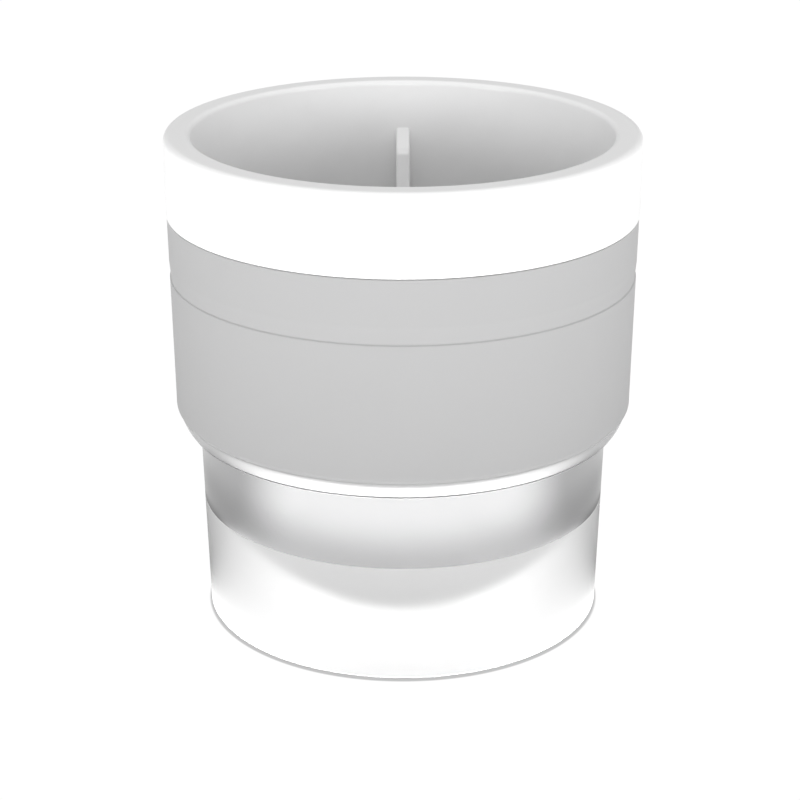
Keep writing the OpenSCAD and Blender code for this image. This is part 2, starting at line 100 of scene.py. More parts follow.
DRAIN_ORBIT = 90.0
DRAIN_X, DRAIN_Y = -DRAIN_ORBIT * math.sin(DRAIN_TURN), DRAIN_ORBIT * math.cos(DRAIN_TURN)
RING_STEPS = 288


def low_r(z):
    """Outer radius of the base and neck: a straight taper from the floor to the collar."""
    return BASE_R + (NECK_R - BASE_R) * z / COLLAR_LOW


def soft_r(z):
    """Outer radius of the soft wall: a straight taper from its foot to the rim's skirt."""
    return SLEEVE_R + (RIM_R - 0.5 - SLEEVE_R) * (z - SLEEVE_LOW) / (RIM_LOW - SLEEVE_LOW)


# ---- surfaces --------------------------------------------------------------

def put_mesh(name, points, quads):
    """A mesh object from an array of points in millimetres and an array of four-cornered
    faces, where a face whose last two corners agree is a triangle."""
    mesh = bpy.data.meshes.new(name)
    points = np.asarray(points, float) * MM
    faces = [f[:3] if f[2] == f[3] else f for f in np.asarray(quads, int).tolist()]
    mesh.from_pydata(points.tolist(), [], faces)
    mesh.validate()
    mesh.polygons.foreach_set("use_smooth", np.ones(len(mesh.polygons), bool))
    mesh.update()
    piece = bpy.data.objects.new(name, mesh)
    scene.collection.objects.link(piece)
    return piece


def join_parts(parts):
    """Several (points, quads) put one after the other as one (points, quads)."""
    starts = np.cumsum([0] + [len(p) for p, _ in parts[:-1]])
    return (np.concatenate([p for p, _ in parts]),
            np.concatenate([q + s for (_, q), s in zip(parts, starts)]))


NEARLY_STRAIGHT = math.radians(89.0)
SUPPORT = 0.35
RUN_SHARE = 0.48


def rounded(corners, steps=5):
    """Outline with its corners rounded. corners are (radius, height, rounding): at each one
    the two straight runs are joined by an arc tangent to both, and each run gets one more
    point close to either end, so that smooth shading stays flat between the arcs. An arc
    takes less than half of a run, and half the angle between the runs tells its centre."""
    c = np.asarray(corners, float)
    out = []
    n = len(c)
    for i in range(n):
        p, r = c[i, :2], c[i, 2]
        a, b = c[i - 1, :2] - p, c[(i + 1) % n, :2] - p
        la, lb = np.linalg.norm(a), np.linalg.norm(b)
        a, b = a / la, b / lb
        half = math.acos(max(-1.0, min(1.0, float(a @ b)))) / 2
        if r <= 0 or half > NEARLY_STRAIGHT:
            out.append(p[None])
            continue
        reach = min(r / math.tan(half), RUN_SHARE * la, RUN_SHARE * lb)
        r = reach * math.tan(half)
        middle = p + (a + b) / np.linalg.norm(a + b) * r / math.sin(half)
        t = np.linspace(0.0, 1.0, steps + 1)
        start, end = p + a * reach - middle, p + b * reach - middle
        angle = math.pi - 2 * half
        sweep = np.sin((1 - t) * angle)[:, None] * start + np.sin(t * angle)[:, None] * end
        arc = sweep / math.sin(angle)
        before = p + a * min(reach + SUPPORT, 0.5 * la)
        after = p + b * min(reach + SUPPORT, 0.5 * lb)
        out.append(np.concatenate([before[None], middle + arc, after[None]]))
    points = np.concatenate(out)
    keep = np.linalg.norm(points - np.roll(points, 1, axis=0), axis=1) > 1e-4
    return points[keep]


def lathe(profile, count):
    """The closed profile turned about the Z axis: point (i, j) is radius r_j at angle
    2 pi i / count and height z_j. Points on the axis become one pole. Faces look away from the
    material when the profile runs anticlockwise in (radius, height), so one that runs the
    other way, with a negative area, is turned round first."""
    profile = np.asarray(profile, float)
    x, y = profile[:, 0], profile[:, 1]
    if (x * np.roll(y, -1) - np.roll(x, -1) * y).sum() < 0:
        profile = profile[::-1]
    turn = np.linspace(0.0, 2 * np.pi, count, endpoint=False)
    n = len(profile)
    r, z = profile[:, 0], profile[:, 1]
    points = np.stack([np.outer(np.cos(turn), r), np.outer(np.sin(turn), r),
                       np.broadcast_to(z, (count, n))], axis=2).reshape(-1, 3)
    index = np.arange(count * n).reshape(count, n)
    index[:, r < 1e-6] = index[:1, r < 1e-6]
    nxt = np.roll(index, -1, axis=0)
    j = np.arange(n)
    k = (j + 1) % n
    quads = np.stack([index[:, j], nxt[:, j], nxt[:, k], index[:, k]], axis=2).reshape(-1, 4)
    return tidy_quads(points, quads)


def tidy_quads(points, quads):
    """Drops faces with no area, turns faces with one doubled corner into triangles and
    leaves out unused points."""
    same = [quads[:, a] == quads[:, (a + 1) % 4] for a in range(4)]
    doubles = np.sum(same, axis=0)
    quads, same = quads[doubles <= 1], [s[doubles <= 1] for s in same]
    for a in range(3):
        quads[same[a]] = np.roll(quads[same[a]], 2 - a, axis=1)
    used, quads = np.unique(quads, return_inverse=True)
    return points[used], quads.reshape(-1, 4)


def stood(surface, place, turn=0.0):
    """Points turned about Z and moved to a place."""
    points, quads = surface
    c, s = math.cos(turn), math.sin(turn)
    turned = points @ np.array([[c, s, 0.0], [-s, c, 0.0], [0.0, 0.0, 1.0]])
    return turned + np.asarray(place, float), quads


def pointing_out(surface, turn, height, x=0.0):
    """A shape turned about Z laid down so that its +Z points outwards along +Y, then turned
    about the washer's axis: (x, y, z) goes to (x, z, -y)."""
    points, quads = surface
    laid = np.stack([points[:, 0] + x, points[:, 2], height - points[:, 1]], axis=1)
    return stood((laid, quads), (0.0, 0.0, 0.0), turn)


def around(surface, turns):
    """Copies of a shape turned about the washer's axis."""
    return join_parts([stood(surface, (0.0, 0.0, 0.0), math.radians(t)) for t in turns])


def grid_quads(rows, columns, wrap=False):
    """Faces of a grid of points, row by row."""
    index = np.arange(rows * columns).reshape(rows, columns)
    right = np.roll(index, -1, axis=1) if wrap else index[:, 1:]
    left = index if wrap else index[:, :-1]
    return np.stack([left[:-1], right[:-1], right[1:], left[1:]], axis=2).reshape(-1, 4)


HALVINGS = 40
RING_SHARES = (0.0, 0.06, 0.25, 0.6)


def holed_sheet(u, v, holes, place, wrap=False):
    """A sheet on the lines u and v, where place(u, v) gives the points, with holes. A hole is
    (i0, i1, j0, j1, centre, inside): the window of grid lines it takes up, its centre in
    (u, v) and a function that is negative inside its outline. The window is filled with
    rings: each border point slides straight towards the centre until it meets the outline,
    and the rings between lie at fixed shares of that way."""
    rows, columns = len(v), len(u)
    uu, vv = np.meshgrid(u, v)
    quads = grid_quads(rows, columns, wrap)
    cells = np.ones((rows - 1, columns if wrap else columns - 1), bool)
    for i0, i1, j0, j1, _, _ in holes:
        cells[j0:j1, i0:i1] = False
    quads = quads[cells.ravel()]
    pu, pv = [uu.ravel()], [vv.ravel()]
    total = rows * columns
    for i0, i1, j0, j1, (cu, cv), inside in holes:
        i, j = np.arange(i0, i1), np.arange(j0, j1)
        border = np.concatenate([
            j0 * columns + i, j * columns + i1,
            j1 * columns + i[::-1] + 1, j[::-1] * columns + columns + i0])
        bu, bv = uu.ravel()[border], vv.ravel()[border]
        low, high = np.zeros(len(border)), np.ones(len(border))
        for _ in range(HALVINGS):
            t = (low + high) / 2
            within = inside(place(cu + (bu - cu) * t, cv + (bv - cv) * t)) < 0
            low, high = np.where(within, t, low), np.where(within, high, t)
        rings = []
        for share in RING_SHARES:
            t = high + (1 - high) * share
            pu.append(cu + (bu - cu) * t)
            pv.append(cv + (bv - cv) * t)
            rings.append(total + np.arange(len(border)))
            total += len(border)
        rings.append(border)
        for inner, outer in zip(rings[:-1], rings[1:]):
            quads = np.concatenate([quads, np.stack(
                [outer, np.roll(outer, -1), np.roll(inner, -1), inner], axis=1)])
    used, quads = np.unique(quads, return_inverse=True)
    points = place(np.concatenate(pu), np.concatenate(pv))
    return points[used], quads.reshape(-1, 4)


def thicken(piece, wall, edge):
    """Gives a sheet its wall on the inner side and rounds its edges."""
    solid = piece.modifiers.new("wall", "SOLIDIFY")
    solid.thickness = wall * MM
    solid.offset = -1.0
    solid.use_even_offset = True
    bevel = piece.modifiers.new("edges", "BEVEL")
    bevel.width = edge * MM
    bevel.segments = 3
    bevel.limit_method = "ANGLE"
    bevel.angle_limit = math.radians(40.0)


def face_outwards(piece):
    """Recalculates the faces of a closed shape so that they look outwards."""
    shape = bmesh.new()
    shape.from_mesh(piece.data)
    bmesh.ops.recalc_face_normals(shape, faces=shape.faces)
    shape.to_mesh(piece.data)
    shape.free()
    piece.data.update()


# ---- shader node groups ------------------------------------------------------

def new_group(name, inputs, outputs):
    """An empty shader node group with number inputs and named outputs."""
    tree = bpy.data.node_groups.new(name, "ShaderNodeTree")
    for label, default in inputs:
        socket = tree.interface.new_socket(name=label, in_out="INPUT", socket_type="NodeSocketFloat")
        socket.default_value = default
    for label, kind in outputs:
        tree.interface.new_socket(name=label, in_out="OUTPUT", socket_type=kind)
    return tree, tree.nodes.new("NodeGroupInput"), tree.nodes.new("NodeGroupOutput")


def feed(tree, slot, value):
    """Links a socket to an input, or sets the input to a number or colour."""
    if hasattr(value, "node"):
        tree.links.new(value, slot)
    else:
        slot.default_value = value


def math_node(tree, operation, *values, clamp=False):
    """One Math node on one or two values."""
    node = tree.nodes.new("ShaderNodeMath")
    node.operation = operation
    node.use_clamp = clamp
    for slot, value in zip(node.inputs, values):
        feed(tree, slot, value)
    return node.outputs[0]


def noise(tree, coordinate, scale, detail=3.0, roughness=0.5):
    """A Noise Texture on a coordinate."""
    node = tree.nodes.new("ShaderNodeTexNoise")
    node.inputs["Detail"].default_value = detail
    node.inputs["Roughness"].default_value = roughness
    tree.links.new(coordinate, node.inputs["Vector"])
    feed(tree, node.inputs["Scale"], scale)
    return node.outputs["Fac"]


def object_coordinate(tree):
    """The place on the piece, in metres."""
    return tree.nodes.new("ShaderNodeTexCoord").outputs["Object"]


def map_range(tree, value, low, high, to_low, to_high):
    """value from low to high becomes to_low to to_high, held at both ends."""
    node = tree.nodes.new("ShaderNodeMapRange")
    labels = ("Value", "From Min", "From Max", "To Min", "To Max")
    for label, given in zip(labels, (value, low, high, to_low, to_high)):
        feed(tree, node.inputs[label], given)
    return node.outputs["Result"]


def separated(tree, vector):
    """The X, Y and Z of a vector."""
    split = tree.nodes.new("ShaderNodeSeparateXYZ")
    tree.links.new(vector, split.inputs[0])
    return split.outputs


def axis_radius(tree, place):
    """The distance from the washer's axis: the square root of x^2 + y^2."""
    x2 = math_node(tree, "MULTIPLY", place["X"], place["X"])
    y2 = math_node(tree, "MULTIPLY", place["Y"], place["Y"])
    return math_node(tree, "SQRT", math_node(tree, "ADD", x2, y2))


def make_moulded_grain():
    """Height of a spark-eroded mould face: fine grain over a slow sink-mark wave."""
    tree, given, result = new_group(
        "moulded grain", [("Scale", 900.0), ("Wave", 0.3)], [("Height", "NodeSocketFloat")])
    place = object_coordinate(tree)
    grain = noise(tree, place, given.outputs["Scale"], 2.0, 0.6)
    wave = noise(tree, place, 14.0, 1.0)
    total = math_node(tree, "ADD", grain, math_node(tree, "MULTIPLY", wave, given.outputs["Wave"]))
    tree.links.new(total, result.inputs["Height"])
    return tree


def make_handling():
    """Mask of faint rubbed patches and specks of dust, 0 where the face is clean."""
    tree, given, result = new_group(
        "handling marks", [("Scale", 22.0), ("Specks", 0.3)], [("Mask", "NodeSocketFloat")])
    place = object_coordinate(tree)
    patches = map_range(tree, noise(tree, place, given.outputs["Scale"], 4.0, 0.55), 0.5, 0.75, 0.0, 1.0)
    specks = map_range(tree, noise(tree, place, 1400.0, 1.0), 0.70, 0.78, 0.0, 1.0)
    dust = math_node(tree, "MULTIPLY", specks, given.outputs["Specks"])
    tree.links.new(math_node(tree, "ADD", patches, dust, clamp=True), result.inputs["Mask"])
    return tree


def make_tint():
    """The given colour made a little darker or lighter in slow clouds, as pigment flows in a
    mould, and darker where the mask says so."""
    tree = bpy.data.node_groups.new("pigment flow", "ShaderNodeTree")
    new = tree.interface.new_socket
    new(name="Color", in_out="INPUT", socket_type="NodeSocketColor")
    amount = new(name="Amount", in_out="INPUT", socket_type="NodeSocketFloat")
    amount.default_value = 0.03
    new(name="Mask", in_out="INPUT", socket_type="NodeSocketFloat")
    dark = new(name="Darken", in_out="INPUT", socket_type="NodeSocketFloat")
    dark.default_value = 0.02
    new(name="Color", in_out="OUTPUT", socket_type="NodeSocketColor")
    given, result = tree.nodes.new("NodeGroupInput"), tree.nodes.new("NodeGroupOutput")
    cloud = noise(tree, object_coordinate(tree), 9.0, 2.0)
    shift = math_node(tree, "MULTIPLY", math_node(tree, "SUBTRACT", cloud, 0.5), given.outputs["Amount"])
    loss = math_node(tree, "MULTIPLY", given.outputs["Mask"], given.outputs["Darken"])
    level = math_node(tree, "SUBTRACT", math_node(tree, "ADD", shift, 1.0), loss)
    scale = tree.nodes.new("ShaderNodeVectorMath")
    scale.operation = "SCALE"
    tree.links.new(given.outputs["Color"], scale.inputs[0])
    tree.links.new(level, scale.inputs["Scale"])
    tree.links.new(scale.outputs[0], result.inputs["Color"])
    return tree


def make_turning():
    """Height of the fine rings that a lathe or a grinder leaves: a noise on radius and height
    only, so that it runs round the axis."""
    tree, given, result = new_group("turning rings", [("Scale", 3000.0)], [("Height", "NodeSocketFloat")])
    place = separated(tree, object_coordinate(tree))
    combine = tree.nodes.new("ShaderNodeCombineXYZ")
    tree.links.new(axis_radius(tree, place), combine.inputs["X"])
    tree.links.new(place["Z"], combine.inputs["Z"])
    tree.links.new(noise(tree, combine.outputs[0], given.outputs["Scale"], 2.0), result.inputs["Height"])
    return tree


GRAIN = make_moulded_grain()
HANDLING = make_handling()
TINT = make_tint()
TURNING = make_turning()


# ---- materials ---------------------------------------------------------------

PLASTIC_IOR = 1.46


def place_group(tree, group, **values):
    """One placed node group with its own values; its outputs."""
    node = tree.nodes.new("ShaderNodeGroup")
    node.node_tree = group
    for label, value in values.items():
        feed(tree, node.inputs[label], value)
    return node.outputs


def finish_material(
        name, colour, rough, spread=0.06, metallic=0.0, grain=900.0, wave=0.3, bump=0.02,
        specular=0.5, tint=0.03, darken=0.02, specks=0.3, rings=0.0, sheen=0.0, transmission=0.0):
    """A Principled finish: pigment flow feeds the colour, handling marks open up the gloss, and
    mould grain or, where rings is given, turning rings make the bump, in millimetres."""
    material = bpy.data.materials.new(name)
    material.use_nodes = True
    tree = material.node_tree
    shader = tree.nodes["Principled BSDF"]
    marks = place_group(tree, HANDLING, Specks=specks)["Mask"]
    tinted = place_group(tree, TINT, Color=(*colour, 1.0), Amount=tint, Mask=marks, Darken=darken)["Color"]
    tree.links.new(tinted, shader.inputs["Base Color"])
    tree.links.new(map_range(tree, marks, 0.0, 1.0, rough, rough + spread), shader.inputs["Roughness"])
    if rings:
        height = place_group(tree, TURNING, Scale=rings)["Height"]
    else:
        height = place_group(tree, GRAIN, Scale=grain, Wave=wave)["Height"]
    bump_node = tree.nodes.new("ShaderNodeBump")
    bump_node.inputs["Strength"].default_value = 1.0
    bump_node.inputs["Distance"].default_value = bump * MM
    tree.links.new(height, bump_node.inputs["Height"])
    tree.links.new(bump_node.outputs["Normal"], shader.inputs["Normal"])
    for label, value in (("Metallic", metallic), ("IOR", PLASTIC_IOR), ("Specular IOR Level", specular),
                         ("Sheen Weight", sheen), ("Transmission Weight", transmission)):
        shader.inputs[label].default_value = value
    return material


WHITE_GLOSS = finish_material("glossy white moulding", (0.88, 0.88, 0.88), 0.12, spread=0.03, bump=0.004)
RIM_WHITE = finish_material("rim white moulding", (0.90, 0.90, 0.90), 0.34, spread=0.05, bump=0.006)
# The lip is white moulding darkened to a mid grey: painted shade for the lip's dark sides.
LIP_WHITE_WITH_PAINTED_SHADE = finish_material("lip white moulding with painted shade", (0.58, 0.58, 0.583), 0.16, spread=0.03, bump=0.004)
TUB_WHITE = finish_material("satin white tub", (0.88, 0.88, 0.88), 0.38, spread=0.08, bump=0.02)
SOFT_GREY = finish_material("soft grey elastomer", (0.545, 0.545, 0.547), 0.82, spread=0.05, grain=2400.0,
                            wave=0.1, bump=0.03, specular=0.12, tint=0.012, darken=0.01, specks=0.15,
                            sheen=0.03)
BAND_GREY = finish_material("polished grey band", (0.50, 0.50, 0.503), 0.13, spread=0.03, metallic=1.0,
                            bump=0.003, tint=0.02)
PALE = finish_material("pale grey moulding", (0.74, 0.74, 0.74), 0.45, spread=0.08, bump=0.03)
NYLON = finish_material("natural acetal", (0.84, 0.82, 0.74), 0.4, spread=0.08, bump=0.02, tint=0.06)
RUBBER = finish_material("black rubber", (0.035, 0.035, 0.036), 0.62, spread=0.15, grain=1600.0, bump=0.05,
                         darken=-0.6, specular=0.35)
PANEL_GREY = finish_material("glossy grey panel", (0.50, 0.50, 0.505), 0.2, spread=0.06, bump=0.006)
CAP_GREY = finish_material("glossy grey cap", (0.55, 0.55, 0.555), 0.2, spread=0.06, bump=0.006)
DARK = finish_material("black moulding", (0.022, 0.022, 0.023), 0.35, spread=0.1, bump=0.03, darken=-0.5)
WIRE = finish_material("wire insulation", (0.016, 0.016, 0.017), 0.42, spread=0.1, bump=0.02, darken=-0.5)
STEEL = finish_material("ground steel", (0.62, 0.62, 0.63), 0.26, spread=0.14, metallic=1.0, rings=2600.0,
                        bump=0.008, tint=0.05, darken=0.08)
SPRING = finish_material("spring wire steel", (0.5, 0.5, 0.51), 0.3, spread=0.12, metallic=1.0,
                         grain=2500.0, bump=0.01, darken=0.1)
BRASS = finish_material("machined brass", (0.78, 0.60, 0.26), 0.24, spread=0.14, metallic=1.0, rings=3200.0,
                        bump=0.008, darken=0.1)
MAGNET = finish_material("sintered ferrite", (0.05, 0.05, 0.052), 0.6, spread=0.1, grain=1800.0, bump=0.06,
                         darken=-0.2)
WINDING = finish_material("enamelled winding", (0.55, 0.24, 0.10), 0.3, spread=0.1, metallic=0.6,
                          rings=1500.0, bump=0.12, darken=0.15)
BOARD = finish_material("glass epoxy board", (0.03, 0.16, 0.08), 0.38, spread=0.1, grain=1200.0, bump=0.02,
                        tint=0.2, darken=0.05)
LENS = finish_material("clear blue lens", (0.62, 0.82, 1.0), 0.08, spread=0.05, transmission=0.85,
                       bump=0.002)

SLOT_FINISH = {
    "white_gloss": WHITE_GLOSS, "white_satin": TUB_WHITE, "pale_plastic": PALE, "soft_grey": SOFT_GREY,
    "band_grey": BAND_GREY, "dark_rubber": RUBBER, "wire_skin": WIRE, "steel": STEEL,
    "spring_steel": SPRING, "brass": BRASS, "nylon": NYLON, "magnet": MAGNET, "winding": WINDING,
    "board": BOARD, "dark_plastic": DARK, "lens": LENS,
}
NODE_SLOT = {row["node"]: row["material_slot"] for row in frame["record"]["subparts"]}

for node_name, cad_object in frame["nodes"].items():
    finish = SLOT_FINISH[NODE_SLOT[node_name]]
    if not cad_object.data.materials:
        cad_object.data.materials.append(finish)
    for material_slot in cad_object.material_slots:
        material_slot.material = finish


def fit(piece, material, body, slot, *nodes):
    """Gives a piece its finish and its body, and hides the CAD nodes it stands for. The slot is not used."""
    piece.data.materials.append(material)
    if body:
        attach(piece, body)
    if nodes:
        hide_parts(*nodes)
    return piece


# ---- rim ---------------------------------------------------------------------

def make_rim():
    """The rim turned in one: an outer skirt, a flat top with large rounded edges and the liner
    that hangs down inside."""
    profile = rounded([
        (RIM_R - 2.6, RIM_LOW, 0.5), (RIM_R, RIM_LOW, 0.9), (RIM_R, TOTAL_H, 4.0),
        (MOUTH_R, TOTAL_H, 3.0), (MOUTH_R - 0.4, LINER_LOW, 1.1), (MOUTH_R + 2.0, LINER_LOW, 1.1),
        (MOUTH_R + 2.4, TOTAL_H - 2.6, 1.2), (RIM_R - 2.6, TOTAL_H - 2.6, 1.2)], steps=10)
    piece = put_mesh("rim_ring_moulding", *lathe(profile, RING_STEPS))
    return fit(piece, RIM_WHITE, "rim", "white_gloss", "rim_ring")


EDGE_STEPS = 7


def swept_plate(outline, half, edge, middle, held):
    """A plate: an outline in (radius, height) swept across its width. At a place s of the way
    through the last edge length before either face, the outline is drawn in by
    edge (1 - sqrt(1 - s^2)), so the rim of both faces is a quarter round. The points where
    held is true are not drawn in. Both faces close on a point in the middle."""
    s = np.linspace(0.0, 1.0, EDGE_STEPS)
    draw = edge * (1 - np.sqrt(np.clip(1 - s ** 2, 0, 1)))
    widths = np.concatenate([-half + edge * (1 - s[::-1]), half - edge * (1 - s)])
    draws = np.concatenate([draw[::-1], draw])
    tangent = np.roll(outline, -1, axis=0) - np.roll(outline, 1, axis=0)
    tangent /= np.linalg.norm(tangent, axis=1)[:, None]
    inward = np.stack([-tangent[:, 1], tangent[:, 0]], axis=1)
    inward *= np.sign(((middle - outline) * inward).sum(axis=1))[:, None]
    inward[held] = 0.0
    rings = outline[None] + inward[None] * draws[:, None, None]
    n, rows = len(outline), len(widths)
    points = np.stack([rings[:, :, 0], np.broadcast_to(widths[:, None], (rows, n)), rings[:, :, 1]], axis=2)
    ends = np.array([[middle[0], widths[0], middle[1]], [middle[0], widths[-1], middle[1]]])
    low, top = rows * n, rows * n + 1
    first = np.arange(n)
    last = first + (rows - 1) * n
    caps = np.concatenate([
        np.stack([np.roll(first, -1), first, np.full(n, low), np.full(n, low)], axis=1),
        np.stack([last, np.roll(last, -1), np.full(n, top), np.full(n, top)], axis=1)])
    quads = np.concatenate([grid_quads(rows, n, wrap=True), caps])
    return np.concatenate([points.reshape(-1, 3), ends]), quads


def make_wash_ribs():
    """Three upright ribs inside the liner, rounded along both front edges."""
    outline = rounded([
        (MOUTH_R + 0.9, 270.6, 0.0), (MOUTH_R - 0.3, 269.4, 0.0), (120.6, 266.0, 6.0),
        (112.6, 259.0, 4.0), (110.6, 255.8, 5.0), (110.6, 229.0, 5.0), (MOUTH_R - 0.4, 220.0, 0.0),
        (MOUTH_R + 0.9, 219.2, 0.0)], steps=6)
    rib = swept_plate(outline, 4.5, 1.8, np.array([MOUTH_R - 3.0, 244.0]), outline[:, 0] > MOUTH_R + 0.5)
    piece = put_mesh("wash_ribs", *around(rib, (90.0, 210.0, 330.0)))
    face_outwards(piece)
    return fit(piece, RIM_WHITE, "rim", "white_gloss")


def make_rim_bosses():
    """Eight screw posts under the rim's top, each a turned tube with a rounded foot."""
    post = lathe(rounded([(1.6, 263.7, 0.2), (2.9, 263.7, 0.4), (2.9, 298.2, 0.0), (1.6, 298.2, 0.0)]), 24)
    piece = put_mesh("rim_screw_posts", *around(stood(post, (131.0, 0.0, 0.0)), range(0, 360, 45)))
    return fit(piece, RIM_WHITE, "rim", "white_gloss")


make_rim()
make_wash_ribs()
make_rim_bosses()


# ---- soft wall ---------------------------------------------------------------

def make_soft_wall():
    """The soft wall turned in one: flanges at both ends, a rounded shoulder at its foot and a
    fold line near the top, where the wall steps in under a soft shoulder."""
    top_out = RIM_R - 2.9
    z = FOLD_Z
    profile = rounded([
        (126.2, 127.6, 0.3), (133.2, 127.6, 0.5), (133.2, 131.58, 0.1), (136.85, 131.6, 0.15),
        (138.2, 134.0, 2.5), (soft_r(139), 139.0, 4.0), (soft_r(170), 170.0, 0.0),
        (soft_r(z - 0.8), z - 0.8, 0.7), (soft_r(z) - 0.7, z - 0.1, 0.3), (soft_r(z) - 0.7, z + 0.6, 0.3),
        (soft_r(z + 3.0) - 0.55, z + 3.0, 3.0), (soft_r(z + 10), z + 10, 12.0),
        (soft_r(RIM_LOW - 0.4), RIM_LOW - 0.4, 0.6),
        (top_out, RIM_LOW - 0.4, 0.0), (top_out, 263.4, 0.5), (128.2, 263.4, 0.4), (128.2, 261.0, 0.4),
        (top_out - 3, 261.0, 1.0), (top_out - 3, RIM_LOW - 2, 2.0), (soft_r(z + 8) - 3, z + 8, 8.0),
        (soft_r(z) - 4, z + 1, 4.0), (soft_r(z - 4) - 3, z - 4, 4.0), (soft_r(139) - 3, 139.0, 4.0),
        (131.6, 132.0, 1.0), (131.6, 130.0, 0.3), (126.2, 130.0, 0.3)], steps=6)
    profile = subdivided(profile, 6.0)
    piece = put_mesh("folding_soft_wall", *lathe(profile, RING_STEPS))
    fit(piece, SOFT_GREY, None, "soft_grey", "folding_sleeve")
    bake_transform(piece)
    return piece


def subdivided(profile, longest):
    """A closed outline with points added on every run longer than the given length."""
    following = np.roll(profile, -1, axis=0)
    length = np.linalg.norm(following - profile, axis=1)
    counts = np.maximum(1, np.ceil(length / longest)).astype(int)
    start = np.repeat(profile, counts, axis=0)
    step = np.repeat((following - profile) / counts[:, None], counts, axis=0)
    order = np.arange(counts.sum()) - np.repeat(np.cumsum(counts) - counts, counts)
    return start + step * order[:, None]


def make_lip():
    """The lower collar turned in one: a sloping lip, point (109.53 + 28 cos a, 138.33 + 28 sin a)
    for a from -35.9 to -14 degrees, with a drip groove 1.1 mm wide above its lower edge."""
    centre_r, centre_z, bend = 109.53, 138.33, 28.0
    arc = np.radians(np.linspace(-35.9, -14.0, 15))
    curve = np.stack([centre_r + bend * np.cos(arc), centre_z + bend * np.sin(arc)], axis=1)
    rest = rounded([
        (133.6, 131.56, 0.1), (133.6, 127.4, 0.8), (132.4, 123.8, 1.0), (131.2, 122.6, 0.6),
        (125.6, 122.6, 0.5), (125.6, 121.0, 0.3), (131.2, 120.4, 0.1), (131.4, 120.8, 0.1),
        (129.4, 120.95, 0.1), (129.4, 121.9, 0.1)])
    profile = np.concatenate([rest, curve])
    piece = put_mesh("lower_lip", *lathe(profile, RING_STEPS))
    return fit(piece, LIP_WHITE_WITH_PAINTED_SHADE, "base", "white_gloss", "lower_collar")


make_soft_wall()
make_lip()


# ---- base --------------------------------------------------------------------

def make_neck_band():
    """The grey neck turned in one: a thin tapered wall whose lower end stands on a step inside
    the base's top edge, and an inner foot below it."""
    profile = rounded([
        (118.0, 67.0, 0.3), (120.0, 67.0, 0.3), (120.0, 72.0, 0.2), (low_r(BAND_LOW) - 0.1, 72.0, 0.05),
        (low_r(124.0) - 0.1, 124.0, 0.4), (low_r(124.0) - BAND_WALL, 124.0, 0.4),
        (low_r(76.0) - BAND_WALL, 76.0, 0.5), (118.0, 74.4, 0.5)])
    piece = put_mesh("neck_band_ring", *lathe(subdivided(profile, 8.0), RING_STEPS))
    return fit(piece, BAND_GREY, "base", "band_grey", "neck_band")


def rounded_box_outline(x, z, w, h, corner):
    """Signed distance to a rounded rectangle: length of the part of (|x|, |z|) outside the
    inner rectangle, less the corner radius."""
    dx, dz = np.abs(x) - (w / 2 - corner), np.abs(z) - (h / 2 - corner)
    return np.hypot(np.maximum(dx, 0), np.maximum(dz, 0)) + np.minimum(np.maximum(dx, dz), 0) - corner


def circle_about(turn, height, radius):
    """Signed distance to a round hole that looks outwards at a turn about the axis."""
    def inside(p):
        across = p[:, 0] * math.cos(turn) + p[:, 1] * math.sin(turn)
        return np.hypot(across, p[:, 2] - height) - radius
    return inside


def make_base_wall():
    """The base's wall: a cone sheet from the foot to the band, point (angle, height) at radius
    low_r(height), drawn in along both its edges, with the panel's opening, the power socket's
    hole and the spout's hole, then given its thickness."""
    step = 1.25
    foot_z, foot_inset = [1.5, 1.7, 2.3, 2.9], [0.8, 0.45, 0.08, 0.0]
    top_z, top_inset = [72.95, BAND_LOW], [0.0, 0.3]
    u = np.radians(np.arange(0.0, 360.0, step))
    v = np.concatenate([foot_z, np.arange(6.0, 72.0, 3.0), [72.3], top_z])

    def place(a, z):
        r = low_r(z) - np.interp(z, foot_z, foot_inset) - np.interp(z, top_z, top_inset)
        return np.stack([r * np.cos(a), r * np.sin(a), z], axis=1)

    def panel_opening(p):
        width, height = PANEL_W + 2 * PANEL_GAP, PANEL_H + 2 * PANEL_GAP
        return rounded_box_outline(p[:, 0], p[:, 2] - PANEL_Z, width, height, PANEL_CORNER + PANEL_GAP)

    def hole(angle, width, low, high, centre_z, inside):
        i0, i1 = (int(round(edge / step)) for edge in (angle - width / 2, angle + width / 2))
        j0, j1 = (int(np.abs(v - edge).argmin()) for edge in (low, high))
        return i0, i1, j0, j1, (math.radians(angle), centre_z), inside

    holes = [
        hole(PANEL_ANGLE, 40.0, 21.0, 60.0, PANEL_Z, panel_opening),
        hole(JACK_ANGLE, 12.5, 27.0, 54.0, PANEL_Z, circle_about(JACK_TURN, PANEL_Z, 8.6)),
        hole(DRAIN_ANGLE, 12.5, 39.0, 66.0, SPOUT_Z, circle_about(DRAIN_TURN, SPOUT_Z, SPOUT_R + 0.3))]
    piece = put_mesh("base_wall", *holed_sheet(u, v, holes, place, wrap=True))
    thicken(piece, WALL, 0.35)
    return fit(piece, WHITE_GLOSS, "base", "white_gloss", "base_shell")


def make_base_ledge():
    """The ring inside the foot that carries the bottom cover."""
    profile = rounded([(114.4, 5.2, 0.3), (low_r(5.2) - 2.5, 5.2, 0.3), (low_r(9.0) - 2.5, 9.0, 0.2),
                       (114.4, 7.6, 0.3)])
    piece = put_mesh("base_foot_ledge", *lathe(profile, 144))
    return fit(piece, WHITE_GLOSS, "base", "white_gloss")


def make_jack_pad():
    """The round flat pad that carries the power socket: a disc with a rounded edge and a bore."""
    pad = lathe(rounded([(4.15, 112.0, 0.2), (8.5, 112.0, 0.3), (8.5, 122.7, 0.6), (4.15, 122.7, 0.2)]), 64)
    piece = put_mesh("socket_pad", *pointing_out(pad, JACK_TURN, PANEL_Z))
    return fit(piece, WHITE_GLOSS, "base", "white_gloss")


make_neck_band()
make_base_wall()
make_base_ledge()
make_jack_pad()


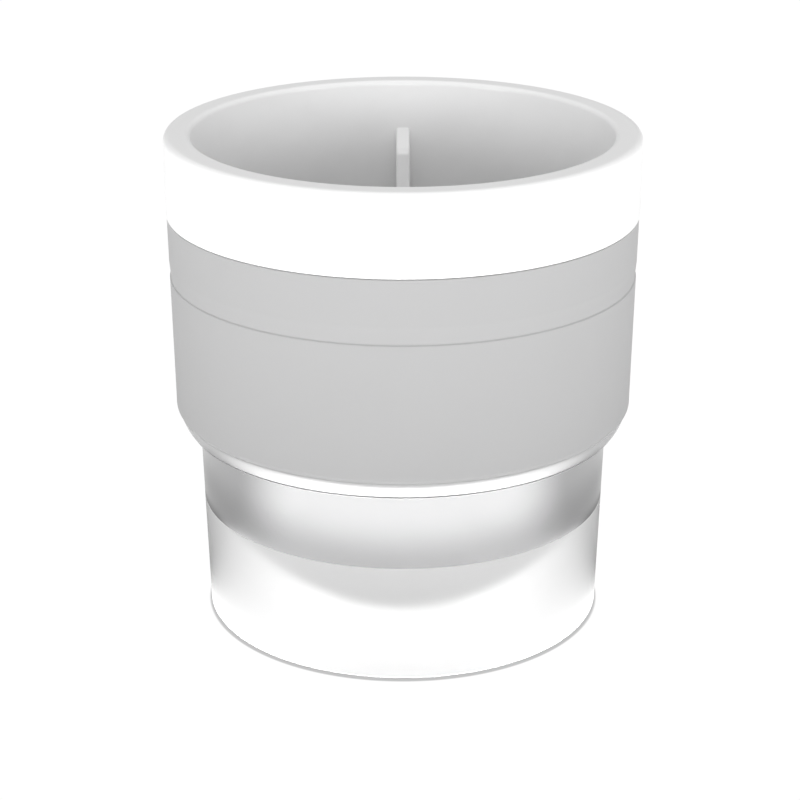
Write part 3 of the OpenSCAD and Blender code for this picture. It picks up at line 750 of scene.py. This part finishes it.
# ---- tub -----------------------------------------------------------------------

TUB_CORNER = 14.0
TUB_FLOOR_R = low_r(84.0) - TUB_GAP - WALL - TUB_CORNER
TUB_TOP_R = low_r(124.0) - TUB_GAP - WALL


def on_drain_axis(surface):
    """A shape moved over the drain's upright axis."""
    return stood(surface, (DRAIN_X, DRAIN_Y, 0.0))


def make_tub():
    """The tub's inner face: angle by distance along one profile, which runs from the flange down
    the wall, round the corner and across the floor, with the drain's hole, then given its
    thickness."""
    corner = np.radians(np.linspace(0.0, -90.0, 15))
    lead_in = rounded([(131.2, 127.4, 0.0), (126.3, 127.4, 4.0), (TUB_TOP_R + 0.4, 125.2, 3.0),
                       (TUB_TOP_R, 110.0, 0.0)])
    line = np.concatenate([
        lead_in[:-1], [[TUB_TOP_R - 0.3, 112.0]],
        np.stack([TUB_FLOOR_R + TUB_CORNER * np.cos(corner),
                  TUB_FLOOR + TUB_CORNER + TUB_CORNER * np.sin(corner)], axis=1),
        [[r, TUB_FLOOR] for r in (
            103.6, 102.0, 98.0, 94.0, 90.0, 86.0, 82.0, 78.0, 60.0, 36.0, 16.0, 14.0)]])
    step, drain_r = 1.5, 9.72
    v = np.arange(len(line), dtype=float)
    u = np.radians(np.arange(0.0, 360.0, step))

    def place(a, k):
        r, z = np.interp(k, v, line[:, 0]), np.interp(k, v, line[:, 1])
        return np.stack([r * np.cos(a), r * np.sin(a), z], axis=1)

    def drain_hole(p):
        return np.hypot(p[:, 0] - DRAIN_X, p[:, 1] - DRAIN_Y) - drain_r

    outer, centre, inner = (int(np.abs(line[:, 0] - r).argmin())
                            for r in (DRAIN_ORBIT + 12.0, DRAIN_ORBIT, DRAIN_ORBIT - 12.0))
    turn = int(round(DRAIN_ANGLE / step))
    hole = (turn - 6, turn + 6, outer, inner, (math.radians(DRAIN_ANGLE), float(centre)), drain_hole)
    piece = put_mesh("wash_tub", *holed_sheet(u, v, [hole], place, wrap=True))
    thicken(piece, WALL, 0.4)
    return fit(piece, TUB_WHITE, "base", "white_satin", "tub")


def make_tub_fittings():
    """The tub's turned fittings: the bearing hub, the drain's seat and stub, the four posts that
    the bottom cover screws to and the flange's screw bosses."""
    hub = lathe(rounded([(11.02, 81.6, 0.2), (14.5, 81.6, 0.3), (14.5, 94.0, 0.8), (9.02, 94.0, 0.3),
                         (9.02, 89.2, 0.2), (8.0, 89.2, 0.1), (8.0, 88.9, 0.1), (11.02, 88.9, 0.2)]), 96)
    stub = lathe(rounded([(6.0, 68.0, 0.3), (8.0, 68.0, 0.3), (8.0, 84.3, 0.5), (9.95, 84.3, 0.3),
                          (9.95, 85.8, 0.2), (6.0, 85.8, 0.2)]), 64)
    post = lathe(rounded([(1.6, 8.0, 0.2), (4.5, 8.0, 0.4), (4.5, 85.6, 0.0), (1.6, 85.6, 0.0)]), 32)
    boss = lathe(rounded([(1.6, 122.8, 0.1), (2.3, 122.8, 0.2), (2.3, 125.2, 0.0), (1.6, 125.2, 0.0)]), 24)
    parts = [hub, on_drain_axis(stub),
             around(stood(post, (96.0, 0.0, 0.0)), (22.5, 112.5, 202.5, 292.5)),
             around(stood(boss, (128.2, 0.0, 0.0)), range(0, 360, 45))]
    piece = put_mesh("tub_fittings", *join_parts(parts))
    return fit(piece, TUB_WHITE, "base", "white_satin")


make_tub()
make_tub_fittings()


# ---- pulsator --------------------------------------------------------------------

def make_pulsator():
    """The pulsator's disc turned in one, from the rounded rim over a shallow hub cone."""
    profile = rounded([
        (4.1, 104.0, 0.2), (4.1, 96.5, 0.3), (16.5, 96.5, 0.5), (16.5, 90.5, 0.4), (18.5, 90.5, 0.4),
        (18.5, 95.8, 0.6), (80.0, 95.8, 1.5), (80.0, 99.0, 1.5), (30.0, 99.2, 16.0), (19.5, 104.4, 8.0),
        (12.0, 106.0, 0.8), (9.2, 106.0, 0.3), (9.2, 104.0, 0.2)], steps=8)
    piece = put_mesh("pulsator_disc", *lathe(profile, 192))
    fit(piece, TUB_WHITE, "pulsator_drive", "white_satin", "pulsator")
    outline = rounded([
        (13.2, 97.6, 0.0), (76.9, 97.6, 0.0), (76.0, 101.0, 2.0), (66.0, 106.0, 14.0), (44.0, 111.0, 20.0),
        (24.0, 113.0, 14.0), (15.0, 112.0, 2.5), (13.2, 106.0, 1.5)], steps=8)
    vane = swept_plate(outline, 4.5, 2.2, np.array([40.0, 101.0]), outline[:, 1] < 98.5)
    vanes = put_mesh("pulsator_vanes", *around(vane, (30.0, 150.0, 270.0)))
    face_outwards(vanes)
    return fit(vanes, TUB_WHITE, "pulsator_drive", "white_satin")


def make_hub_cap():
    """The cap over the shaft's screw: a shallow dome, part of a ball of radius 14.3 about height
    97.7, turned in one with its snap collar."""
    bend, centre_z = 14.3, 97.7
    dome = np.radians(np.linspace(36.5, 90.0, 16))
    top = np.stack([bend * np.cos(dome), centre_z + bend * np.sin(dome)], axis=1)
    top[-1, 0] = 0.0
    under = np.array([[0.0, 108.0], [6.2, 108.0], [6.4, 107.8], [6.4, 104.3], [6.5, 104.2], [8.9, 104.2],
                      [9.0, 104.3], [9.0, 106.1], [9.1, 106.2], [11.3, 106.2]])
    piece = put_mesh("pulsator_hub_cap", *lathe(np.concatenate([under, top]), 96))
    return fit(piece, CAP_GREY, "pulsator_drive", "band_grey", "pulsator_cap")


make_pulsator()
make_hub_cap()


# ---- controls --------------------------------------------------------------------

def make_panel():
    """The control panel: a sheet over (across, height) bent to the base's taper and standing
    half a millimetre proud, y = sqrt(r^2 - x^2). In a corner square the grid point (a, b) goes
    to (a sqrt(1 - b^2 / 2), b sqrt(1 - a^2 / 2)), which makes its outer sides a quarter circle.
    Two button holes and the lamp's hole are cut, then the sheet is given its thickness."""
    proud = 0.5
    share = np.array([0.0, 0.25, 0.5, 0.75, 0.92, 1.0])
    cx, cz = PANEL_W / 2 - PANEL_CORNER, PANEL_H / 2 - PANEL_CORNER
    xs = np.concatenate([-(cx + PANEL_CORNER * share[::-1]), np.arange(-26.0, 26.1, 2.0),
                         cx + PANEL_CORNER * share])[::-1]
    zs = np.concatenate([-(cz + PANEL_CORNER * share[::-1]), np.arange(-6.0, 6.1, 2.0),
                         cz + PANEL_CORNER * share])

    def place(x, z):
        a = np.clip((np.abs(x) - cx) / PANEL_CORNER, 0.0, 1.0)
        b = np.clip((np.abs(z) - cz) / PANEL_CORNER, 0.0, 1.0)
        x = x + np.sign(x) * PANEL_CORNER * a * (np.sqrt(1 - b ** 2 / 2) - 1)
        z = z + np.sign(z) * PANEL_CORNER * b * (np.sqrt(1 - a ** 2 / 2) - 1)
        r = low_r(PANEL_Z + z) + proud
        return np.stack([x, np.sqrt(r ** 2 - x ** 2), PANEL_Z + z], axis=1)

    def round_hole(x, half, r):
        i0, i1 = (int(np.abs(xs - edge).argmin()) for edge in (x + half, x - half))
        j0, j1 = (int(np.abs(zs - edge).argmin()) for edge in (-half, half))
        return i0, i1, j0, j1, (x, 0.0), lambda p: np.hypot(p[:, 0] - x, p[:, 2] - PANEL_Z) - r

    holes = [round_hole(-BUTTON_X, 10.0, BUTTON_R + 0.25), round_hole(BUTTON_X, 10.0, BUTTON_R + 0.25),
             round_hole(0.0, 4.0, 2.05)]
    piece = put_mesh("control_panel_plate", *holed_sheet(xs, zs, holes, place))
    thicken(piece, 3.0, 0.45)
    return fit(piece, PANEL_GREY, "base", "band_grey", "control_panel")


def make_button(name, x, body, node):
    """A push button turned in one: a dished face with a soft edge, a stop flange and a stem."""
    profile = rounded([
        (0.0, 107.2, 0.0), (2.0, 107.2, 0.3), (2.0, 113.0, 0.4), (BUTTON_R + 1.3, 113.0, 0.2),
        (BUTTON_R + 1.3, 115.0, 0.2), (BUTTON_R, 115.0, 0.2), (BUTTON_R, 123.6, 1.1), (6.4, 123.6, 0.8),
        (5.2, 122.9, 3.0), (0.0, 122.7, 0.0)], steps=8)
    shape = pointing_out(lathe(profile, 96), 0.0, PANEL_Z, x)
    return fit(put_mesh(name, *shape), WHITE_GLOSS, body, "white_gloss", node)


def make_button_spring(name, x, node):
    """A coil of round wire between the board and a button. The wire's centre is
    (x + coil cos q, low + (high - low) q / 10 pi, z + coil sin q) for q from 0 to 10 pi, with a
    ring of the wire's radius square to it."""
    low, high = BOARD_Y + 2.2, 112.5
    coil, wire = 5.4, 0.4
    turns, steps, sides = 5, 36, 12
    q = np.linspace(0.0, 2.0 * math.pi * turns, turns * steps + 1)[:, None]
    p = np.radians(np.arange(sides) * 360.0 / sides)[None, :]
    rise = (high - low) / (2.0 * math.pi * turns)
    lean = math.hypot(coil, rise)
    across = coil + wire * np.cos(p)
    along = wire * np.sin(p)
    points = np.stack([
        x + across * np.cos(q) + along * np.sin(q) * rise / lean,
        low + rise * q + along * coil / lean,
        PANEL_Z + across * np.sin(q) - along * np.cos(q) * rise / lean], axis=2).reshape(-1, 3)
    quads = grid_quads(len(q), sides, wrap=True)
    first, last, end = len(points), len(points) + 1, (len(q) - 1) * sides
    ring = np.arange(sides)
    following = np.roll(ring, -1)
    start_cap = np.stack([np.full(sides, first), following, ring, ring], axis=1)
    end_cap = np.stack([np.full(sides, last), end + ring, end + following, end + following], axis=1)
    points = np.concatenate([points, points[:sides].mean(axis=0)[None], points[end:].mean(axis=0)[None]])
    piece = put_mesh(name, points, np.concatenate([quads, start_cap, end_cap]))
    face_outwards(piece)
    fit(piece, SPRING, None, NODE_SLOT[node], node)
    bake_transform(piece)
    return piece


def make_lamp():
    """The indicator's lens: a small rod with a domed end and a stop flange."""
    dome = np.radians(np.linspace(0.0, 90.0, 9))
    profile = np.concatenate([
        [[0.0, 116.2], [2.9, 116.2], [3.0, 116.3], [3.0, 117.8], [2.9, 117.9], [2.0, 117.9], [2.0, 121.9]],
        np.stack([2.0 * np.cos(dome), 122.0 + 0.9 * np.sin(dome)], axis=1)])
    profile[-1, 0] = 0.0
    piece = put_mesh("lamp_lens", *pointing_out(lathe(profile, 48), 0.0, PANEL_Z))
    return fit(piece, LENS, "base", "lens", "indicator_lens")


def make_power_socket():
    """The power socket turned in one, with its bore, and the pin that stands in it."""
    body = lathe(rounded([
        (0.0, 106.5, 0.0), (4.2, 106.5, 0.3), (4.2, 109.0, 0.2), (4.0, 109.0, 0.1), (4.0, 123.0, 0.1),
        (5.6, 123.0, 0.2), (5.6, 124.4, 0.5), (2.8, 124.4, 0.4), (2.8, 114.0, 0.2), (0.0, 114.0, 0.0)]), 64)
    piece = put_mesh("power_socket_body", *pointing_out(body, JACK_TURN, PANEL_Z))
    fit(piece, DARK, "base", "dark_plastic", "power_jack")
    pin = lathe(rounded([(0.0, 113.5, 0.0), (1.0, 113.5, 0.0), (1.0, 123.0, 0.6), (0.0, 123.0, 0.0)]), 32)
    piece = put_mesh("power_socket_pin", *pointing_out(pin, JACK_TURN, PANEL_Z))
    return fit(piece, STEEL, "base", "steel")


make_panel()
make_button("power_button_cap", -BUTTON_X, "power_push", "power_button")
make_button("timer_button_cap", BUTTON_X, "timer_push", "timer_button")
make_button_spring("power_button_coil", -BUTTON_X, "power_button_spring")
make_button_spring("timer_button_coil", BUTTON_X, "timer_button_spring")
make_lamp()
make_power_socket()


# ---- drain and feet ----------------------------------------------------------------

def make_drain():
    """The drain's elbow, an upright cup, and the spout, a tube with a step and a rounded mouth
    that leaves it through the base's wall."""
    cup = on_drain_axis(lathe(rounded([
        (0.0, 41.0, 0.0), (10.6, 41.0, 1.5), (10.6, 78.0, 0.5), (8.1, 78.0, 0.4), (8.1, 64.0, 0.2),
        (6.0, 64.0, 0.2), (6.0, 44.0, 1.0), (0.0, 44.0, 0.0)]), 64))
    tube = pointing_out(lathe(rounded([
        (6.3, 96.4, 0.0), (8.8, 96.4, 0.0), (8.8, 124.0, 0.1), (SPOUT_R, 124.0, 0.15), (SPOUT_R, 143.0, 0.9),
        (6.3, 143.0, 0.7)]), 96), DRAIN_TURN, SPOUT_Z)
    piece = put_mesh("drain_spout_elbow", *join_parts([cup, tube]))
    return fit(piece, PALE, "base", "pale_plastic", "drain_elbow")


def make_plug():
    """The drain's plug: a stopper with a soft flange, and a pull ring, which is a rounded
    square turned about an axis across the spout."""
    stopper = pointing_out(lathe(rounded([
        (0.0, 130.0, 0.0), (6.25, 130.0, 0.8), (6.25, 143.1, 0.2), (8.6, 143.1, 0.3), (8.6, 145.7, 1.0),
        (0.0, 145.7, 0.0)]), 64), DRAIN_TURN, SPOUT_Z)
    points, quads = lathe(rounded([
        (2.6, -1.5, 0.9), (4.8, -1.5, 1.0), (4.8, 1.5, 1.0), (2.6, 1.5, 0.9)]), 64)
    points = points[:, [2, 0, 1]] + np.array([0.0, 149.2, SPOUT_Z])
    ring = stood((points, quads), (0.0, 0.0, 0.0), DRAIN_TURN)
    piece = put_mesh("drain_plug_stopper", *join_parts([stopper, ring]))
    return fit(piece, RUBBER, "plug", "dark_rubber", "drain_plug")


def make_feet():
    """Four rubber feet turned in one: a pad with a hollow sole and a snap stem."""
    foot = lathe(rounded([
        (0.0, 0.6, 0.0), (7.0, 0.6, 0.3), (7.0, 0.0, 0.2), (10.0, 0.0, 0.6), (10.0, 2.45, 0.4),
        (3.0, 2.45, 0.2), (3.0, 5.1, 0.2), (3.8, 5.1, 0.3), (3.8, 6.6, 0.5), (0.0, 6.6, 0.0)]), 64)
    piece = put_mesh("rubber_feet", *around(stood(foot, (95.0, 0.0, 0.0)), (45.0, 135.0, 225.0, 315.0)))
    return fit(piece, RUBBER, "base", "dark_rubber", "feet")


make_drain()
make_plug()
make_feet()


# ---- stage and light ---------------------------------------------------------

FLOOR_HALF = 8.0
DISC_EDGE, DISC_STRETCH, SURROUND_EDGE = (0.199, 0.212), 0.030, (0.258, 0.328)
GLOW_DISC, GLOW_DISC_BEHIND = 15.0, 0.35
GLOW_RING, GLOW_RING_BEHIND = 0.95, 0.6
GLOW_SURROUND, GLOW_SURROUND_BEHIND = 1.8, 0.85
LIGHT_RAMP = (0.23, 0.42)
LIGHT_NEAR, LIGHT_FAR, LIGHT_SIDE, LIGHT_BEHIND = 0.36, 1.95, 0.3, 1.45
FOOT_EDGE, FOOT_SHADE, FLOOR_WHITE = (0.1212, 0.1230), 0.55, 1.02
SKY_LOW, SKY_TOP = 0.36, 0.95
LAMP_REACH = 2.0
WHITE = (1.0, 1.0, 1.0, 1.0)


def smooth_range(tree, value, low, high, to_low=0.0, to_high=1.0):
    """A Map Range with a smooth step, held at both ends."""
    result = map_range(tree, value, low, high, to_low, to_high)
    result.node.interpolation_type = "SMOOTHSTEP"
    return result


def mixed(tree, share, a, b):
    """a where share is 0, b where it is 1."""
    node = tree.nodes.new("ShaderNodeMix")
    node.data_type = "FLOAT"
    for slot, value in zip((node.inputs[0], node.inputs[2], node.inputs[3]), (share, a, b)):
        feed(tree, slot, value)
    return node.outputs[0]


def make_floor():
    """A wide pale floor that glows like a light table. radius is the distance from the washer's
    axis and ahead is -y / radius, which is 1 straight in front, 0 at the sides and -1 behind.
    Seen directly the floor is an even white, with a thin contact shade around the foot. The
    polished faces see a disc, stretched sideways by DISC_STRETCH (1 - ahead^2), then a dimmer
    ring and a bright surround, each of them weaker behind than in front. The dull faces get
    light that grows with the radius and is weaker at the sides, and a level light behind."""
    h = FLOOR_HALF
    mesh = bpy.data.meshes.new("floor")
    mesh.from_pydata([(-h, -h, 0), (h, -h, 0), (h, h, 0), (-h, h, 0)], [], [(0, 1, 2, 3)])
    floor = bpy.data.objects.new("floor", mesh)
    scene.collection.objects.link(floor)
    material = bpy.data.materials.new("light table floor")
    material.use_nodes = True
    material.cycles.emission_sampling = "NONE"
    tree = material.node_tree
    shader = tree.nodes["Principled BSDF"]
    shader.inputs["Base Color"].default_value = (0.0, 0.0, 0.0, 1.0)
    shader.inputs["Roughness"].default_value = 1.0
    shader.inputs["Specular IOR Level"].default_value = 0.0
    place = separated(tree, object_coordinate(tree))
    radius = axis_radius(tree, place)
    ahead = math_node(tree, "DIVIDE", math_node(tree, "MULTIPLY", place["Y"], -1.0), radius)
    front = smooth_range(tree, ahead, 0.0, 0.65)
    wide_front = smooth_range(tree, ahead, -0.55, 0.55)
    behind = smooth_range(tree, ahead, -0.95, -0.45, 1.0, 0.0)

    rising = map_range(tree, ahead, -0.3, 0.85, 0.0, 1.0)
    disc = mixed(tree, math_node(tree, "MULTIPLY", rising, rising), GLOW_DISC_BEHIND, GLOW_DISC)
    ring = mixed(tree, front, GLOW_RING_BEHIND, GLOW_RING)
    surround = mixed(tree, front, GLOW_SURROUND_BEHIND, GLOW_SURROUND)
    sideways = math_node(tree, "SUBTRACT", 1.0, math_node(tree, "MULTIPLY", ahead, ahead))
    stretch = math_node(tree, "MULTIPLY", sideways, DISC_STRETCH)
    disc_radius = math_node(tree, "SUBTRACT", radius, stretch)
    seen_glossy = mixed(tree, smooth_range(tree, disc_radius, *DISC_EDGE), disc, ring)
    seen_glossy = mixed(tree, smooth_range(tree, radius, *SURROUND_EDGE), seen_glossy, surround)

    ramp = smooth_range(tree, radius, *LIGHT_RAMP, LIGHT_NEAR, LIGHT_FAR)
    seen_diffuse = math_node(tree, "MULTIPLY", ramp, mixed(tree, wide_front, LIGHT_SIDE, 1.0))
    seen_diffuse = mixed(tree, behind, seen_diffuse, LIGHT_BEHIND)

    seen_directly = smooth_range(tree, radius, *FOOT_EDGE, FOOT_SHADE, FLOOR_WHITE)
    path = tree.nodes.new("ShaderNodeLightPath")
    level = mixed(tree, path.outputs["Is Glossy Ray"], seen_diffuse, seen_glossy)
    level = mixed(tree, path.outputs["Is Camera Ray"], level, seen_directly)
    tree.links.new(level, shader.inputs["Emission Strength"])
    shader.inputs["Emission Color"].default_value = WHITE
    mesh.materials.append(material)
    return floor


def make_sky():
    """A studio dome: its brightness is a ramp on the direction's height."""
    world = bpy.data.worlds.new("studio")
    scene.world = world
    world.use_nodes = True
    tree = world.node_tree
    tree.nodes.clear()
    direction = separated(tree, tree.nodes.new("ShaderNodeTexCoord").outputs["Generated"])
    level = map_range(tree, direction["Z"], 0.0, 1.0, SKY_LOW, SKY_TOP)
    back = tree.nodes.new("ShaderNodeBackground")
    out = tree.nodes.new("ShaderNodeOutputWorld")
    tree.links.new(level, back.inputs["Strength"])
    back.inputs["Color"].default_value = WHITE
    tree.links.new(back.outputs[0], out.inputs["Surface"])


def make_far_lamp(name, receiver, azimuth, elevation, strength, spread):
    """A distant lamp that lights only the named piece: azimuth 0 stands in front (-Y), positive
    towards +X."""
    data = bpy.data.lights.new(name, "SUN")
    data.energy = strength
    data.angle = math.radians(spread)
    lamp = bpy.data.objects.new(name, data)
    a, e = math.radians(azimuth), math.radians(elevation)
    lamp.rotation_euler = (math.radians(90.0) - e, 0.0, a)
    level = LAMP_REACH * math.cos(e)
    lamp.location = (level * math.sin(a), -level * math.cos(a), LAMP_REACH * math.sin(e))
    scene.collection.objects.link(lamp)
    group = bpy.data.collections.new(name + " receivers")
    group.objects.link(bpy.data.objects[receiver])
    lamp.light_linking.receiver_collection = group
    return lamp


make_floor()
make_sky()
for side, turned in (("mouth lamp left", -50.0), ("mouth lamp", 0.0), ("mouth lamp right", 50.0)):
    make_far_lamp(side, "rim_ring_moulding", turned, elevation=8.0, strength=0.62, spread=14.0)
make_far_lamp("rib lamp", "wash_ribs", 0.0, elevation=27.0, strength=0.55, spread=8.0)

scene.view_settings.view_transform = "Standard"
scene.view_settings.look = "None"
